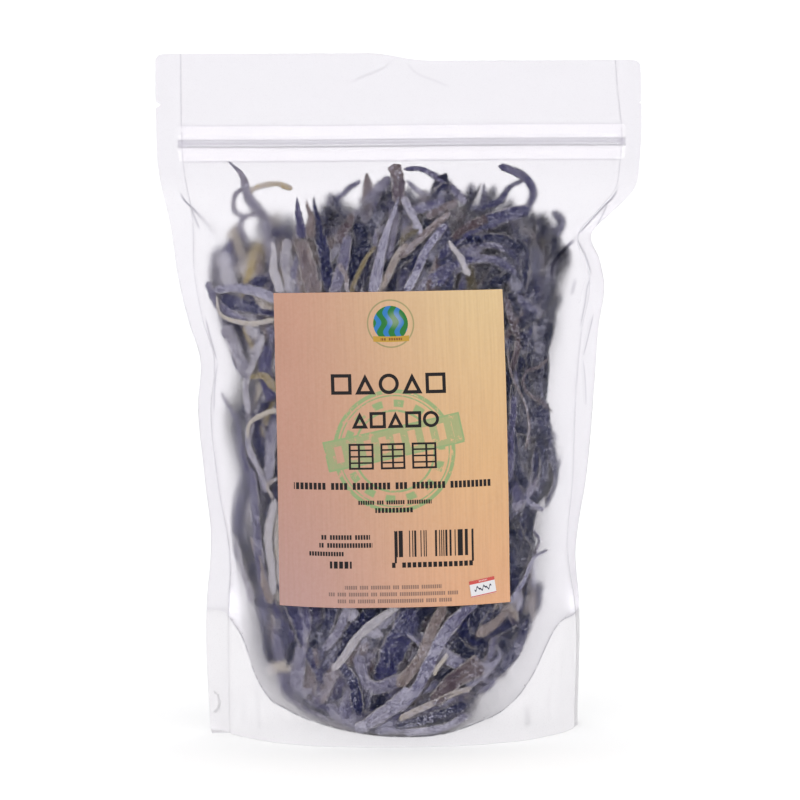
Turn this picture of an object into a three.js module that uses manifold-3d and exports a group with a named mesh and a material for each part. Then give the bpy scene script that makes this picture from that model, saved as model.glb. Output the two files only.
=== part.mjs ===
// A sealed stand-up zip pouch filled with cut strips of dried kelp, with a paper label on its front.
// Millimetres, +Z up. The front looks along -Y, and the origin is the middle of the base, on the ground.
// The pouch is one closed solid out to its film, as full as its contents push it. Under the folded
// base it is open, as a real gusset is: the two skirts stand on the ground with a hollow at each side.

import * as THREE from "three";
import { mergeVertices } from "three/addons/utils/BufferGeometryUtils.js";
import Module from "manifold-3d";

const wasm = await Module();
wasm.setup();

// Driving dimensions.
const pouchHeight = 252; // from the ground to the mouth's edge, at the left corner
const filmHalf = 0.4; // half the thickness of a welded edge
const sealWidth = 9.5; // each side weld, measured across the film
const cornerRadius = 3;
const baseHalfWidth = 65; // from the middle to a side weld, where the base stands open
const baseHalfDepth = 42;
const skirtWall = 1;
const gussetFold = 48; // up to here the base keeps one outline

// The press-to-close strip, welded in across the whole mouth and crushed flat in the side welds.
const zip = { height: 219.9, tapeHeight: 13.8, tapeHalf: 0.3, beadHeight: 2.4, beadHalf: 1.2, gap: 0.3 };
const zipWallHalf = 1; // the pouch's half thickness over the tape
const zipRidgeHalf = 1.9; // and over the bead

const notch = { height: 234.3, deep: 2, tall: 2.4 }; // the tear notches at both edges
const label = { width: 84.2, height: 114.2, x: -5.8, z: 108.5, turn: 0.5, thick: 0.3, gap: 0.3 };
const badge = { width: 9.7, height: 6, x: 31.6, z: -50.8, turn: 8, thick: 0.3, gap: 0.3 }; // on the label

// Outlines as [height, value]: a smooth curve runs through the points.
const leftSeal = curve([[0, -65], [48, -65], [64, -64.3], [94, -68.6], [122, -71], [140, -69.6], [154, -73.5],
  [170, -76.5], [193, -77.3], [212, -80.4], [230, -81], [256, -81]]);
const rightSeal = curve([[0, 65], [48, 65], [64, 62.6], [94, 64.6], [128, 66], [149, 68], [168, 71], [176, 69.6],
  [185, 66.6], [194, 74], [202, 80.6], [212, 82.5], [222, 83.2], [240, 81.6], [256, 80.6]]);
const leftReach = curve([[0, 6.8], [42, 8], [62, 7.2], [80, 5], [98, 4.2], [140, 4.8], [176, 6.3], [198, 9.1],
  [226, 9.4], [256, 9.4]]); // how far the weld stands out to the side; the rest of its width turns back
const rightReach = curve([[0, 2.2], [44, 2.6], [80, 5], [130, 7.4], [160, 6.6], [185, 6], [198, 7.2],
  [226, 7.6], [240, 9], [256, 9.4]]);
const halfDepth = curve([[0, 42], [48, 42], [75, 41], [105, 38.5], [135, 33.5], [160, 26], [180, 16.5],
  [195, 8.5], [206, 2.6], [212, 0.4], [214, 0]]);

const bodyColumns = 22;
const bodyStep = 6;
const headerLevels = [200, 204, 207.5, 210.5];
const mouthLevels = [234, 240, 245, 249, 250.5, 251.4, pouchHeight];

function curve(points) {
  const [heights, values] = [0, 1].map((part) => points.map((point) => point[part]));
  const through = new THREE.CubicInterpolant(heights, values, 1);
  return (z) => through.evaluate(THREE.MathUtils.clamp(z, heights[0], heights.at(-1)))[0];
}

// A lens with blunt ends: the depth at a fraction of the way from the middle (0) to a weld (1 or -1).
const lens = (across) => Math.pow(Math.max(0, 1 - Math.abs(across) ** 2.5), 0.74);

// Half the thickness of the film and zip together: it steps out over the zip's tape and its bead.
function wallHalf(z) {
  const away = Math.abs(z - zip.height);
  if (away <= zip.beadHeight / 2 + zip.gap) return zipRidgeHalf;
  return away <= zip.tapeHeight / 2 + zip.gap ? zipWallHalf : filmHalf;
}

// How much a rounded corner takes off the edge at this height.
function cornerCut(z) {
  const into = Math.max(cornerRadius - z, z - (pouchHeight - cornerRadius), 0);
  return cornerRadius - Math.sqrt(Math.max(0, cornerRadius ** 2 - into ** 2));
}

// The front (-1) or back (1) film, across from weld to weld.
function film(across, z, side, inset = 0) {
  const left = leftSeal(z);
  const right = rightSeal(z);
  const x = (left + right) / 2 + (across * (right - left)) / 2;
  const deep = halfDepth(z) * lens(across);
  return new THREE.Vector3(x, side * (wallHalf(z) + deep - inset), z);
}

// The outer edge of a side weld: it stands out by its reach, and the rest of its width turns back.
function weldEdge(end, z, side) {
  const reach = (end < 0 ? leftReach : rightReach)(z) - cornerCut(z);
  const back = Math.sqrt(Math.max(0, (sealWidth - cornerCut(z)) ** 2 - reach ** 2));
  const root = (end < 0 ? leftSeal : rightSeal)(z);
  return new THREE.Vector3(root + end * reach, turnedBack(z) * back + side * wallHalf(z), z);
}

// The welds only turn back below the mouth: over the zip they lie flat.
const turnedBack = (z) => 1 - THREE.MathUtils.smoothstep(z, 188, 208);

// The mouth's edge is a little higher on the left, and drops near the middle.
const mouthRise = (x, z) =>
  THREE.MathUtils.smoothstep(z, 232, pouchHeight) * (1.1 - 2.9 * THREE.MathUtils.smoothstep(x, -12, 12));

// Closed grid: rows of points from bottom to top, each running round the section, with flat ends.
function closedLoft(rows) {
  const count = rows[0].length;
  const positions = rows.flat().flatMap((point) => [point.x, point.y, point.z]);
  const index = [];
  for (let row = 0; row < rows.length - 1; row++) {
    for (let k = 0; k < count; k++) {
      const a = row * count + k;
      const b = row * count + ((k + 1) % count);
      index.push(a, b, a + count, b, b + count, a + count);
    }
  }
  const top = (rows.length - 1) * count;
  for (let k = 0; k < count / 2 - 1; k++) { // front point k faces back point count - 1 - k
    const [a, b, c, d] = [k, k + 1, count - 2 - k, count - 1 - k];
    index.push(a, c, b, a, d, c);
    index.push(top + a, top + b, top + c, top + a, top + c, top + d);
  }
  return geometryFrom(positions, index);
}

function geometryFrom(positions, index) {
  const geometry = new THREE.BufferGeometry();
  geometry.setAttribute("position", new THREE.Float32BufferAttribute(positions, 3));
  geometry.setIndex(index);
  return geometry;
}

function solidFrom(geometry) {
  const bare = geometry.clone();
  bare.deleteAttribute("normal");
  bare.deleteAttribute("uv");
  const merged = mergeVertices(bare, 1e-4);
  return new wasm.Manifold(new wasm.Mesh({
    numProp: 3,
    vertProperties: new Float32Array(merged.attributes.position.array),
    triVerts: new Uint32Array(merged.index.array),
  }));
}

function geometryOf(solid) {
  const { vertProperties, triVerts } = solid.getMesh();
  const geometry = geometryFrom(Array.from(vertProperties), Array.from(triVerts));
  geometry.computeVertexNormals();
  return geometry;
}

// A box between two corners, as a solid.
function block(low, high) {
  const size = high.map((value, k) => value - low[k]);
  const box = new THREE.BoxGeometry(...size);
  box.translate(...low.map((value, k) => value + size[k] / 2));
  return solidFrom(box);
}

// The heights where the pouch has a row of points: close together where the zip steps it out.
function levels() {
  const body = Array.from({ length: Math.ceil(headerLevels[0] / bodyStep) }, (_, k) => k * bodyStep);
  const bead = zip.beadHeight / 2 + zip.gap;
  const tape = zip.tapeHeight / 2 + zip.gap;
  const steps = [-tape, -bead, bead, tape].flatMap((away) => {
    const outward = 0.5 * Math.sign(away);
    return [zip.height + away, zip.height + away + outward];
  });
  return [0.6, 1.6, ...body, ...headerLevels, ...steps, ...mouthLevels].sort((a, b) => a - b);
}

function pouchBlank() {
  const across = Array.from({ length: bodyColumns + 1 }, (_, k) => Math.sin((k / bodyColumns - 0.5) * Math.PI));
  const rows = levels().map((z) => {
    const front = [weldEdge(-1, z, -1), ...across.map((u) => film(u, z, -1)), weldEdge(1, z, -1)];
    const back = [weldEdge(-1, z, 1), ...across.map((u) => film(u, z, 1)), weldEdge(1, z, 1)];
    const row = [...front, ...back.reverse()];
    row.forEach((point) => (point.z += mouthRise(point.x, z)));
    return row;
  });
  return solidFrom(closedLoft(rows));
}

// The folded base seen from below: its film rises from the ground in the middle to the fold at each side
// weld, and dips to the ground where the contents press it down.
function gussetHeight(across, deep) {
  return 40 * Math.abs(across) ** 3.2 - 3 + 7.5 * deep ** 4;
}

// The hollow under the gusset, between the two skirts.
function underGusset() {
  const [columns, lines, reach, lowest] = [26, 10, 0.992, -1];
  const grid = (rise) => Array.from({ length: columns + 1 }, (_, i) => {
    const across = reach * Math.sin((i / columns - 0.5) * Math.PI);
    return Array.from({ length: lines + 1 }, (_, j) => {
      const deep = (2 * j) / lines - 1;
      const half = baseHalfDepth * lens(across) + filmHalf - skirtWall;
      const z = rise ? Math.max(lowest, gussetHeight(across, deep)) : 2 * lowest;
      return new THREE.Vector3(across * baseHalfWidth, deep * half, z);
    });
  });
  return solidFrom(closedSlab(grid(false), grid(true)));
}

// A slab between two grids of points, the first below or behind the second.
function closedSlab(under, over) {
  const columns = under.length - 1;
  const lines = under[0].length - 1;
  const at = (layer, i, j) => (layer * (columns + 1) + i) * (lines + 1) + j;
  const index = [];
  const quad = (a, b, c, d) => index.push(a, b, c, a, c, d);
  for (let i = 0; i < columns; i++) {
    for (let j = 0; j < lines; j++) {
      quad(at(0, i, j), at(0, i, j + 1), at(0, i + 1, j + 1), at(0, i + 1, j));
      quad(at(1, i, j), at(1, i + 1, j), at(1, i + 1, j + 1), at(1, i, j + 1));
    }
    quad(at(0, i, 0), at(0, i + 1, 0), at(1, i + 1, 0), at(1, i, 0));
    quad(at(0, i + 1, lines), at(0, i, lines), at(1, i, lines), at(1, i + 1, lines));
  }
  for (let j = 0; j < lines; j++) {
    quad(at(0, 0, j + 1), at(0, 0, j), at(1, 0, j), at(1, 0, j + 1));
    quad(at(0, columns, j), at(0, columns, j + 1), at(1, columns, j + 1), at(1, columns, j));
  }
  const positions = [...under, ...over].flat().flatMap((point) => [point.x, point.y, point.z]);
  return geometryFrom(positions, index);
}

// The zip's tape and bead with this much added all round: the strip itself, or the slot it lies in.
// The bead stops at the side welds, where the press has crushed it into the tape.
function zipStrip(added, reach) {
  const tape = block(
    [-reach, -zip.tapeHalf - added, zip.height - zip.tapeHeight / 2 - added],
    [reach, zip.tapeHalf + added, zip.height + zip.tapeHeight / 2 + added]);
  const bead = block(
    [leftSeal(zip.height) - added, -zip.beadHalf - added, zip.height - zip.beadHeight / 2 - added],
    [rightSeal(zip.height) + added, zip.beadHalf + added, zip.height + zip.beadHeight / 2 + added]);
  return tape.add(bead);
}

function tearNotch(end) {
  const edge = weldEdge(end, notch.height, 0).x;
  const outline = new THREE.Shape();
  outline.moveTo(edge - end * notch.deep, notch.height);
  outline.lineTo(edge + end, notch.height - notch.tall * 0.75);
  outline.lineTo(edge + end, notch.height + notch.tall * 0.75);
  const prism = new THREE.ExtrudeGeometry(outline, { depth: 6, bevelEnabled: false });
  prism.rotateX(Math.PI / 2);
  prism.translate(0, 3, 0);
  return solidFrom(prism);
}

// A sticker: a thin curved plate at a height above the film, spread out from its middle and turned.
function sticker({ width, height, thick }, above, place, columns, lines) {
  const grid = (lift) => Array.from({ length: columns + 1 }, (_, i) =>
    Array.from({ length: lines + 1 }, (_, j) => {
      const { x, z } = place((i / columns - 0.5) * width, (j / lines - 0.5) * height);
      return frontPoint(x, z, lift);
    }));
  return closedSlab(grid(above), grid(above + thick));
}

// A point this far in front of the film, at this place seen from the front.
function frontPoint(x, z, lift) {
  const middle = (leftSeal(z) + rightSeal(z)) / 2;
  const half = (rightSeal(z) - leftSeal(z)) / 2;
  const point = film((x - middle) / half, z, -1);
  return new THREE.Vector3(x, point.y - lift, z);
}

const turned = ({ x, z, turn }) => (right, up) => {
  const angle = THREE.MathUtils.degToRad(turn);
  return {
    x: x + right * Math.cos(angle) - up * Math.sin(angle),
    z: z + right * Math.sin(angle) + up * Math.cos(angle),
  };
};

function labelPlate() {
  return sticker(label, label.gap, turned(label), 12, 16);
}

// The badge is placed on the label, and turns with it.
function badgePlate() {
  const onLabel = turned(badge);
  const onFilm = turned(label);
  const place = (right, up) => {
    const spot = onLabel(right, up);
    return onFilm(spot.x, spot.z);
  };
  return sticker(badge, label.gap + label.thick + badge.gap, place, 3, 3);
}

function part(name, geometry, color, roughness) {
  const mesh = new THREE.Mesh(geometry, new THREE.MeshStandardMaterial({ color, roughness, metalness: 0 }));
  mesh.name = name;
  geometry.computeVertexNormals();
  return mesh;
}

const wide = sealWidth + 100; // clear of both edges
const shell = pouchBlank()
  .subtract(underGusset())
  .subtract(zipStrip(zip.gap, wide))
  .subtract(tearNotch(-1))
  .subtract(tearNotch(1));
const zipReach = -weldEdge(-1, zip.height, 0).x - zip.gap;

const pouch = new THREE.Group();
pouch.add(part("pouch", geometryOf(shell), 0xb9b8c4, 0.45));
pouch.add(part("zip", geometryOf(zipStrip(0, zipReach)), 0xdcdae3, 0.4));
pouch.add(part("label", labelPlate(), 0xd0a184, 0.7));
pouch.add(part("badge", badgePlate(), 0xf3f0f0, 0.5));

export default pouch;
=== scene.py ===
import bpy
import numpy as np
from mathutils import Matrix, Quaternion, Vector


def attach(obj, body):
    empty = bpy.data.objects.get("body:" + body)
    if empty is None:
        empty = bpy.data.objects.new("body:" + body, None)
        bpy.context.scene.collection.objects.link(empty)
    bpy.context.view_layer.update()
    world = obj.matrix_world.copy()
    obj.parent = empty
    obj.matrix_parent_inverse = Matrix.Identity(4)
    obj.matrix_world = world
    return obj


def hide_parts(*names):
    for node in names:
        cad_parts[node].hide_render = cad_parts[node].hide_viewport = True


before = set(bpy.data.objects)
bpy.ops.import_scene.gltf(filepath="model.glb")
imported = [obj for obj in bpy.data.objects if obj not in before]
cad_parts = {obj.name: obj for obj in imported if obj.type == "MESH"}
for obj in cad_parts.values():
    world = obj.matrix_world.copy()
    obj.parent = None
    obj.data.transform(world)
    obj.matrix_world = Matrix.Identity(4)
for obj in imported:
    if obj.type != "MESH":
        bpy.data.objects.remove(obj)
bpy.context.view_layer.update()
print("frame loaded:", len(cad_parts), "solids")
mm = 0.001


def curveThrough(points):
    # a smooth curve through (height, value) points: a cubic between each two, its slope at a point the
    # weighted mean of the slopes of the two stretches beside it
    t, v = np.array(points, float).T
    step = np.diff(t)
    slope = np.diff(v) / step
    inner = (slope[:-1] * step[1:] + slope[1:] * step[:-1]) / (step[:-1] + step[1:])
    m = np.concatenate([slope[:1], inner, slope[-1:]])

    def at(z):
        z = np.clip(z, t[0], t[-1])
        k = np.clip(np.searchsorted(t, z, side="right") - 1, 0, len(t) - 2)
        h = step[k]
        s = (z - t[k]) / h
        a, b = v[k], v[k + 1]
        return (a * (1 + 2 * s) * (1 - s) ** 2 + m[k] * h * s * (1 - s) ** 2
                + b * s * s * (3 - 2 * s) + m[k + 1] * h * s * s * (s - 1))
    return at


def smooth(x, low, high):
    # 0 below low, 1 above high, with no corner between
    t = np.clip((x - low) / (high - low), 0, 1)
    return t * t * (3 - 2 * t)


def bump(x, middle, width):
    # a bell of height 1, about twice width across
    return np.exp(-((x - middle) / width) ** 2)


def makePiece(name, points, faces, material):
    # points in millimetres, as rows of x, y, z
    mesh = bpy.data.meshes.new(name)
    rows = faces if isinstance(faces, list) else np.asarray(faces).tolist()
    mesh.from_pydata((np.asarray(points) * mm).tolist(), [], rows)
    mesh.update()
    mesh.polygons.foreach_set("use_smooth", [True] * len(mesh.polygons))
    mesh.materials.append(material)
    piece = bpy.data.objects.new(name, mesh)
    bpy.context.scene.collection.objects.link(piece)
    return piece


def gridFaces(rows, columns, ringClosed=False):
    # quads of a grid whose points run along each row in turn
    across = columns if ringClosed else columns - 1
    i, j = (grid.ravel() for grid in np.meshgrid(np.arange(rows - 1), np.arange(across), indexing="ij"))
    right = (j + 1) % columns
    return np.stack([i * columns + j, i * columns + right,
                     (i + 1) * columns + right, (i + 1) * columns + j], axis=1)


def sharpRim(piece):
    # keeps the shading of a thin sheet's faces apart from that of its cut edge
    edges = np.empty(len(piece.data.loops), int)
    piece.data.loops.foreach_get("edge_index", edges)
    alone = np.bincount(edges, minlength=len(piece.data.edges)) == 1
    layer = piece.data.attributes.new("sharp_edge", "BOOLEAN", "EDGE")
    layer.data.foreach_set("value", alone)


def addAttribute(piece, name, values):
    # one number for each point of the mesh
    layer = piece.data.attributes.new(name, "FLOAT", "POINT")
    layer.data.foreach_set("value", np.asarray(values, float).ravel())


def addPlane(piece, name, right, up):
    # a UV map with one pair of numbers for each point of the mesh
    layer = piece.data.uv_layers.new(name=name)
    loops = np.empty(len(piece.data.loops), int)
    piece.data.loops.foreach_get("vertex_index", loops)
    pairs = np.stack([np.ravel(right), np.ravel(up)], axis=1)[loops]
    layer.data.foreach_set("uv", pairs.ravel())


class Socket:
    # wraps a node's output, so that an expression on it adds Math nodes
    def __init__(self, shader, link):
        self.shader, self.link = shader, link

    def __add__(self, other):
        return self.shader.math("ADD", self, other)

    def __radd__(self, other):
        return self.shader.math("ADD", other, self)

    def __sub__(self, other):
        return self.shader.math("SUBTRACT", self, other)

    def __rsub__(self, other):
        return self.shader.math("SUBTRACT", other, self)

    def __mul__(self, other):
        return self.shader.math("MULTIPLY", self, other)

    def __rmul__(self, other):
        return self.shader.math("MULTIPLY", other, self)

    def __truediv__(self, other):
        return self.shader.math("DIVIDE", self, other)

    def __pow__(self, other):
        return self.shader.math("POWER", self, other)

    def __abs__(self):
        return self.shader.math("ABSOLUTE", self)


class Shader:
    # a material and the nodes that feed its surface
    def __init__(self, name):
        self.material = bpy.data.materials.new(name)
        self.material.use_nodes = True
        self.tree = self.material.node_tree
        self.surface = self.tree.nodes["Principled BSDF"]
        self.output = self.tree.nodes["Material Output"]

    def add(self, kind, settings=None, values=None, output=0):
        node = self.tree.nodes.new(kind)
        for key, value in (settings or {}).items():
            if key == "stops":
                self.setStops(node.color_ramp, value)
            else:
                setattr(node, key, value)
        for key, value in (values or {}).items():
            self.feed(node.inputs[key], value)
        return Socket(self, node.outputs[output])

    def setStops(self, ramp, stops):
        while len(ramp.elements) < len(stops):
            ramp.elements.new(1)
        for element, (place, colour) in zip(ramp.elements, stops):
            element.position = place
            element.color = (*colour, 1)

    def feed(self, target, value):
        if isinstance(value, Socket):
            self.tree.links.new(value.link, target)
        elif isinstance(value, tuple) and len(value) == 3 and target.type == "RGBA":
            target.default_value = (*value, 1)
        else:
            target.default_value = value

    def set(self, **values):
        for name, value in values.items():
            self.feed(self.surface.inputs[name.replace("_", " ")], value)

    def attribute(self, name):
        return self.add("ShaderNodeAttribute", {"attribute_name": name}, output="Fac")

    def objectPlace(self):
        return self.add("ShaderNodeTexCoord", output="Object")

    def noise(self, place, scale, detail, roughness):
        return self.add("ShaderNodeTexNoise", {}, {"Vector": place, "Scale": scale, "Detail": detail,
                                                   "Roughness": roughness})

    def mix(self, factor, first, second):
        return self.add("ShaderNodeMix", {"data_type": "RGBA"}, {0: factor, 6: first, 7: second}, 2)

    def math(self, operation, *values):
        return self.add("ShaderNodeMath", {"operation": operation}, dict(enumerate(values)))

    def above(self, value, limit, soft):
        # 1 where value is over limit, fading over soft on either side of it
        return self.add("ShaderNodeMapRange", {"interpolation_type": "SMOOTHSTEP"},
                        {0: value, 1: limit - soft, 2: limit + soft})

    def below(self, value, limit, soft):
        return 1 - self.above(value, limit, soft)

    def between(self, value, low, high, soft):
        return self.above(value, low, soft) * self.below(value, high, soft)

    def step(self, value, limit):
        # 1 where value is under limit, with a hard edge
        return self.math("LESS_THAN", value, limit)

    def most(self, *values):
        # the largest of several masks
        result = values[0]
        for value in values[1:]:
            result = self.math("MAXIMUM", result, value)
        return result

    def ramp(self, value, stops):
        return self.add("ShaderNodeValToRGB", {"stops": stops}, {0: value})

    def bumpFrom(self, height, distance, strength):
        return self.add("ShaderNodeBump", {}, {"Height": height, "Distance": distance,
                                               "Strength": strength})


# the pouch, in millimetres; each list holds (height, value) points
form = {
    "height": 252.0,
    "sealWidth": 9.5,
    "cornerRadius": 3.0,
    "baseHalfWidth": 65.0,
    "baseHalfDepth": 42.0,
    "zipHeight": 219.9,
    "tapeHeight": 13.8,
    "wallGap": 0.12,         # half the gap between front and back film where they lie together
    "notchHeight": 234.3,
    "notchDeep": 2.0,
    "notchTall": 2.4,
    "leftSeal": [(0, -65), (48, -65), (64, -64.3), (94, -68.6), (122, -71), (140, -69.6), (154, -73.5),
                 (170, -76.5), (193, -77.3), (212, -80.4), (230, -81), (256, -81)],
    "rightSeal": [(0, 65), (48, 65), (64, 62.6), (94, 64.6), (128, 66), (149, 68), (168, 71), (176, 69.6),
                  (185, 66.6), (194, 74), (202, 80.6), (212, 82.5), (222, 83.2), (240, 81.6), (256, 80.6)],
    "leftReach": [(0, 6.8), (42, 8), (62, 7.2), (80, 5), (98, 4.2), (140, 4.8), (176, 6.3), (198, 9.1),
                  (226, 9.4), (256, 9.4)],
    "rightReach": [(0, 2.2), (44, 2.6), (80, 5), (130, 7.4), (160, 6.6), (185, 6), (198, 7.2), (226, 7.6),
                   (240, 9), (256, 9.4)],
    "halfDepth": [(0, 42), (48, 42), (75, 41), (105, 38.5), (135, 33.5), (160, 26), (180, 16.5),
                  (195, 8.5), (206, 2.6), (212, 0.4), (214, 0)],
    # the weld between a skirt and the folded base, as (x, height)
    "baseSeam": [(-80, 43.5), (-64, 42.5), (-60, 36), (-56.5, 25), (-52.5, 17.5), (-45, 12.5), (-32, 8),
                 (-15, 4.6), (0, 3.8), (10, 4.4), (25, 8.5), (34, 12), (42, 19), (47, 26), (51, 33.5),
                 (56, 40.5), (64, 43), (80, 43)],
}
leftSeal, rightSeal, leftReach, rightReach, halfDepth, seamHeight = (
    curveThrough(form[key])
    for key in ("leftSeal", "rightSeal", "leftReach", "rightReach", "halfDepth", "baseSeam"))


def lens(across):
    # a lens with blunt ends, 1 in the middle and 0 at either weld
    return np.maximum(0, 1 - np.abs(across) ** 2.5) ** 0.74


def acrossAt(x, z):
    # how far from the middle (0) to a weld (-1 or 1) a place on the film lies
    left, right = leftSeal(z), rightSeal(z)
    return (2 * x - left - right) / (right - left)


def xAt(across, z):
    # the x of a place that lies so far across
    left, right = leftSeal(z), rightSeal(z)
    return (left + right) / 2 + across * (right - left) / 2


def zipRidge(z):
    # what the film stands out by over the zip's tape and its bead
    away = np.abs(z - form["zipHeight"])
    tape = 0.3 * (1 - smooth(away, form["tapeHeight"] / 2 - 0.1, form["tapeHeight"] / 2 + 0.5))
    return tape + 0.85 * (1 - smooth(away, 0.9, 1.7))


# Creases pressed into the film: how wide, how deep, how dark a line of painted shade each draws, and its
# route of (x, height).
creases = [
    (0.5, 0.5, 0.5, [(82, 203), (80, 199), (77, 196), (72, 190.5), (66, 184)]),
    (0.9, 0.9, 0.62, [(66, 184), (59.5, 178.5), (56.5, 175), (55, 168)]),
    (0.35, 0.4, 0.4, [(66, 184), (69, 179), (71, 173.5), (72, 170)]),
    (0.5, 0.3, 0.25, [(72, 170), (70, 166), (69, 160), (67, 150)]),
    (1.0, 0.3, 0.2, [(65, 169), (63, 163)]),
    (0.5, 0.3, 0.3, [(-78, 197), (-76.5, 193), (-74.5, 188)]),
    (0.4, 0.3, 0.28, [(-73, 156), (-71, 148), (-68.5, 139)]),
    (0.4, 0.3, 0.2, [(-68.5, 139), (-69.5, 131), (-70, 120)]),
    (1.1, 0.4, 0.09, [(-60, 21), (-60.5, 11), (-59.5, 1)]),
    (1.3, 0.4, 0.1, [(-55, 24), (-55.5, 13), (-54.5, 2)]),
    (1.8, 0.5, 0.16, [(43.5, 13), (44, 4)]),
    (0.35, 0.3, 0.16, [(52, 20), (52.3, 12), (52, 4)]),
    (0.8, 0.3, 0.06, [(58, 32), (57, 18), (58, 6)]),
    (0.35, 0.1, 0.2, [(-72, 16), (-69.5, 14), (-68.5, 11), (-69.5, 8), (-72, 6)]),
    (0.35, 0.1, 0.2, [(66, 16), (64.5, 14), (64, 11), (64.5, 8), (66, 6)]),
    (0.7, 0.4, 0.1, [(2, 251), (6, 247), (13, 244), (19, 241)]),
]


def routeThrough(points, count):
    # evenly spread points on a smooth curve through a few given ones
    points = np.array(points, float)
    along = np.concatenate([[0], np.cumsum(np.linalg.norm(np.diff(points, axis=0), axis=1))])
    t = np.linspace(0, along[-1], count)
    return np.stack([curveThrough(np.stack([along, column], axis=1))(t) for column in points.T], axis=1)


def offsetFrom(route, x, z):
    # the signed distance from a route to each place, and the fade towards and past its ends
    path = routeThrough(route, 40)
    shape = np.shape(x)
    place = np.stack([np.ravel(x), np.ravel(z)], axis=1)
    gap = place[:, None, :] - path[None]
    nearest = np.argmin(np.sum(gap ** 2, axis=2), axis=1)
    tangent = np.gradient(path, axis=0)
    tangent /= np.linalg.norm(tangent, axis=1, keepdims=True)
    own = gap[np.arange(len(place)), nearest]
    along = np.sum(own * tangent[nearest], axis=1)
    offset = own[:, 1] * tangent[nearest][:, 0] - own[:, 0] * tangent[nearest][:, 1]
    share = nearest / (len(path) - 1)
    fade = smooth(share, -0.01, 0.18) * smooth(1 - share, -0.01, 0.18) * (np.abs(along) < 1.5)
    return offset.reshape(shape), fade.reshape(shape)


def pressedIn(x, z):
    # over all the creases: how deep, the distance to the nearest one in widths, and how dark its line of
    # painted shade is
    deep, offset, creaseShadeAmount = np.zeros(np.shape(x)), np.full(np.shape(x), 50.0), np.zeros(np.shape(x))
    for width, depth, creaseShading, route in creases:
        near, fade = offsetFrom(route, x, z)
        deep = deep + depth * fade * bump(near, 0, 1.3 * width + 0.5)
        scaled = near / width
        better = (np.abs(scaled) < np.abs(offset)) & (fade > 0)
        offset = np.where(better, scaled, offset)
        creaseShadeAmount = np.where(better & (np.abs(near) < 4), creaseShading * fade, creaseShadeAmount)
    return deep, np.clip(offset, -12, 12), creaseShadeAmount


def relief(x, z, side):
    # how far the film stands out from its plain form: dents over the contents, folds in the skirts
    u = acrossAt(x, z)
    body = (1 - smooth(z, 196, 212)) * smooth(1 - np.abs(u), 0.0, 0.25)
    turn = 1.3 if side > 0 else 0.0
    dents = (np.sin(x / 9.1 + z / 15.0 + turn) * np.sin(z / 11.3 - x / 23.0 + 0.7 + turn)
             + 0.6 * np.sin(x / 5.2 - z / 7.7 + 2.1 * turn) * np.sin(z / 6.1 + x / 12.0 + 1.9))
    out = 0.45 * body * dents
    skirt = (1 - smooth(z, 18, 34)) * smooth(np.abs(u), 0.25, 0.6)
    out += 0.4 * skirt * np.sin(x / 2.9 + 0.5 * np.sin(z / 7.0) + turn)
    out -= 0.15 * bump(z - seamHeight(x), 0, 1.2) * (np.abs(u) < 1)
    out -= 0.1 * bump(np.abs(u), 1, 0.012)
    return out


def filmPoint(x, z, side):
    # the film's surface between the welds, on the front (-1) or the back (1): the lens times half the
    # pouch's depth at that height, and what stands out on it
    u = acrossAt(x, z)
    out = form["wallGap"] + zipRidge(z) + halfDepth(z) * lens(u) + relief(x, z, side)
    return side * np.maximum(out, 0.06)


def cornerCut(z):
    # how far a rounded corner draws in: its radius less the height of the circle there
    radius = form["cornerRadius"]
    into = np.maximum(np.maximum(radius - z, z - (form["height"] - radius)), 0)
    return radius - np.sqrt(np.maximum(0, radius ** 2 - into ** 2))


def notchCut(z):
    # the little triangle torn out of each edge
    return form["notchDeep"] * np.maximum(0, 1 - np.abs(z - form["notchHeight"]) / (form["notchTall"] / 2))


def mouthRise(x, z):
    # the mouth is pulled up a little on the left and down on the right, and less so towards the zip
    return smooth(z, 232, form["height"]) * (1.1 - 2.9 * smooth(x, -12, 12))


filmLook = {
    "roughness": {"body": 0.95, "skirt": 0.4},
    "ior": 1.16,                          # low, so that the frosting blurs and does not veil
    "colour": (0.913, 0.905, 0.922),
    "skirt": (1.0, 0.995, 1.0),           # below the seam, and the folded base
    "header": (0.898, 0.89, 0.908),       # above the contents, where front and back film lie together
    "headerFrom": 205,
    # the line colour goes along welds, and as painted shade along creases
    "line": (0.32, 0.31, 0.37),           # along welds and creases
    "speck": (0.12, 0.11, 0.14),          # dark specks caught in the seam
    "edge": (0.78, 0.77, 0.81),           # the cut edge all round
    "glare": 0.4,                         # how much of its own gloss the frosting leaves
    "gussetClearness": 0.95,
    "thickness": 0.13,
    "columns": 132,                       # of the film's grid between its welds
    "rows": 212,
}
frostLook = {
    "colour": (0.8, 0.787, 0.808),
    "grain": 1900,
    "cover": 0.64,                        # the noise level above which there is a speck
    "body": 0.17,                         # how much white each speck adds
    "skirt": 0.74,                        # the same for the skirts all over, with more near the foot
    "foot": 0.1,
    "aboveSeam": 0.08,
}


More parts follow.
